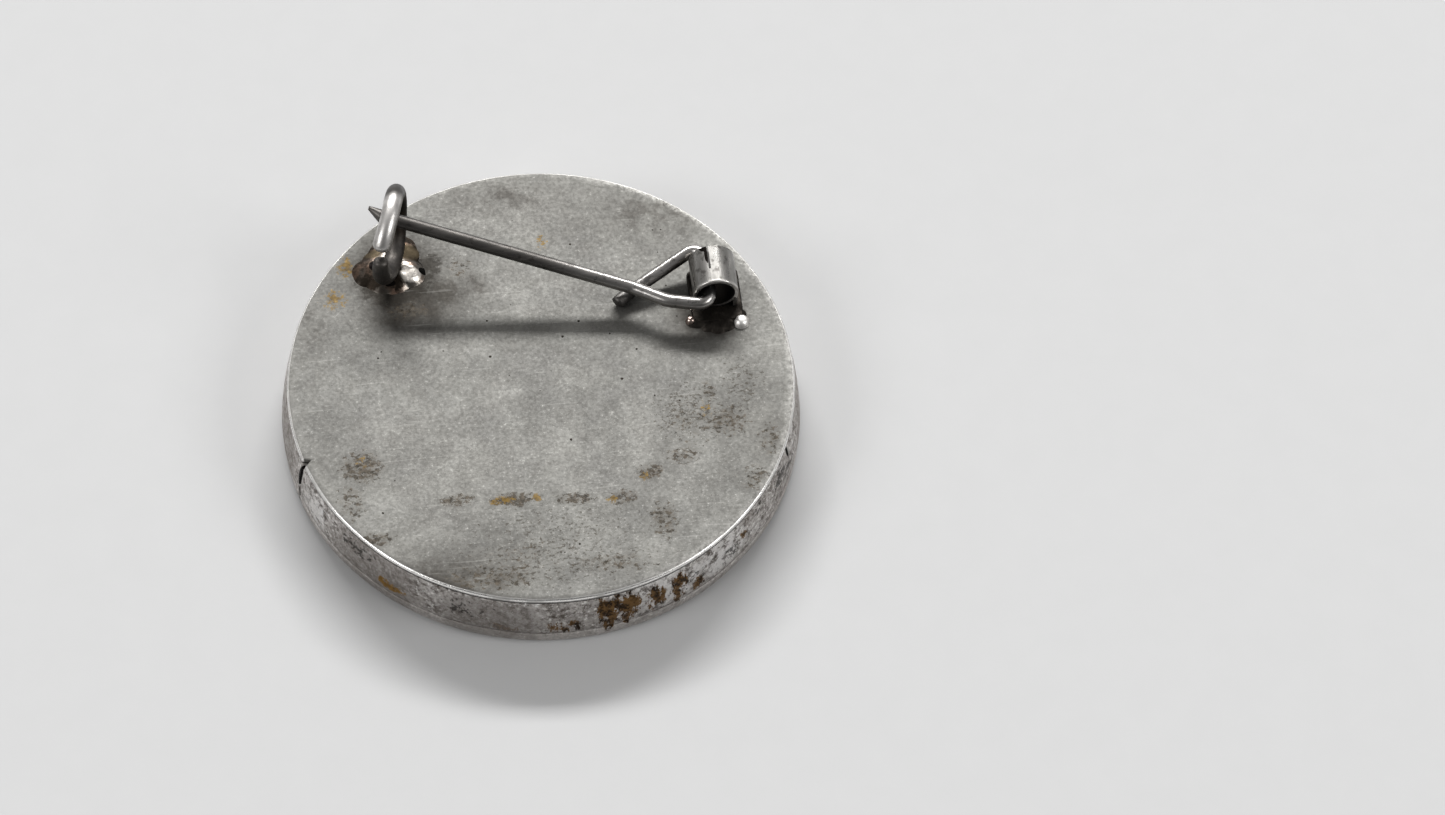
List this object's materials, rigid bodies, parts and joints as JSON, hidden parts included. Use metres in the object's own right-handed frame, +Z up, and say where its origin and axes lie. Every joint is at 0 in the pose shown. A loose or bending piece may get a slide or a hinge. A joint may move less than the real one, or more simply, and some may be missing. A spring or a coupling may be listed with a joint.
{
  "type": "button badge",
  "caption": "Round button badge lying on its face: soldered metal case, picture under a clear cover, hinged spring wire pin and C catch on the back.",
  "frame": {"origin": "bottom centre of the badge, on its axis, at the plane the bezel lies on", "axes": "+Z up, out of the back of the badge; +Y along the hinge tube, away from the viewer of the back; the catch is towards -X and the hinge towards +X"},
  "size_m": [0.0329, 0.0328, 0.0109],
  "materials": {
    "back_plate": "nickel-plated brass sheet, satin, tarnished, worn to brass in spots",
    "rim_band": "nickel-plated brass strip, dull and mottled, worn to brown brass",
    "seam_solder": "dull soft solder",
    "plate_solder": "dull soft solder",
    "face_cover": "clear celluloid, slightly yellowed",
    "face_print": "printed paper",
    "backing_card": "greyboard",
    "packing_disc": "soft pasteboard",
    "hinge_tube": "nickel-plated brass sheet, polished by wear",
    "hinge_foot": "nickel-plated brass sheet, tarnished",
    "hinge_solder": "bright soft solder",
    "pin_wire": "drawn spring steel wire, bright with dark drawing lines",
    "catch_ring": "nickel-plated brass wire, bright on the crown",
    "catch_solder": "bright soft solder with brown flux"
  },
  "bodies": {
    "badge": {"back_plate": "back_plate", "rim_band": "rim_band", "seam_solder": "seam_solder", "plate_solder": "plate_solder", "face_cover": "face_cover", "face_print": "face_print", "backing_card": "backing_card", "packing_disc": "packing_disc", "hinge_tube": "hinge_tube", "hinge_foot": "hinge_foot", "hinge_solder": "hinge_solder", "catch_ring": "catch_ring", "catch_solder": "catch_solder"},
    "pin": {"pin_wire": "pin_wire"}
  },
  "joints": [
    {"name": "pin_swing", "type": "hinge", "parent": "badge", "child": "pin", "pos_m": [0.0111, 0.00558, 0.00625], "axis": [0, 1, 0], "range_deg": [0, 85]}
  ]
}
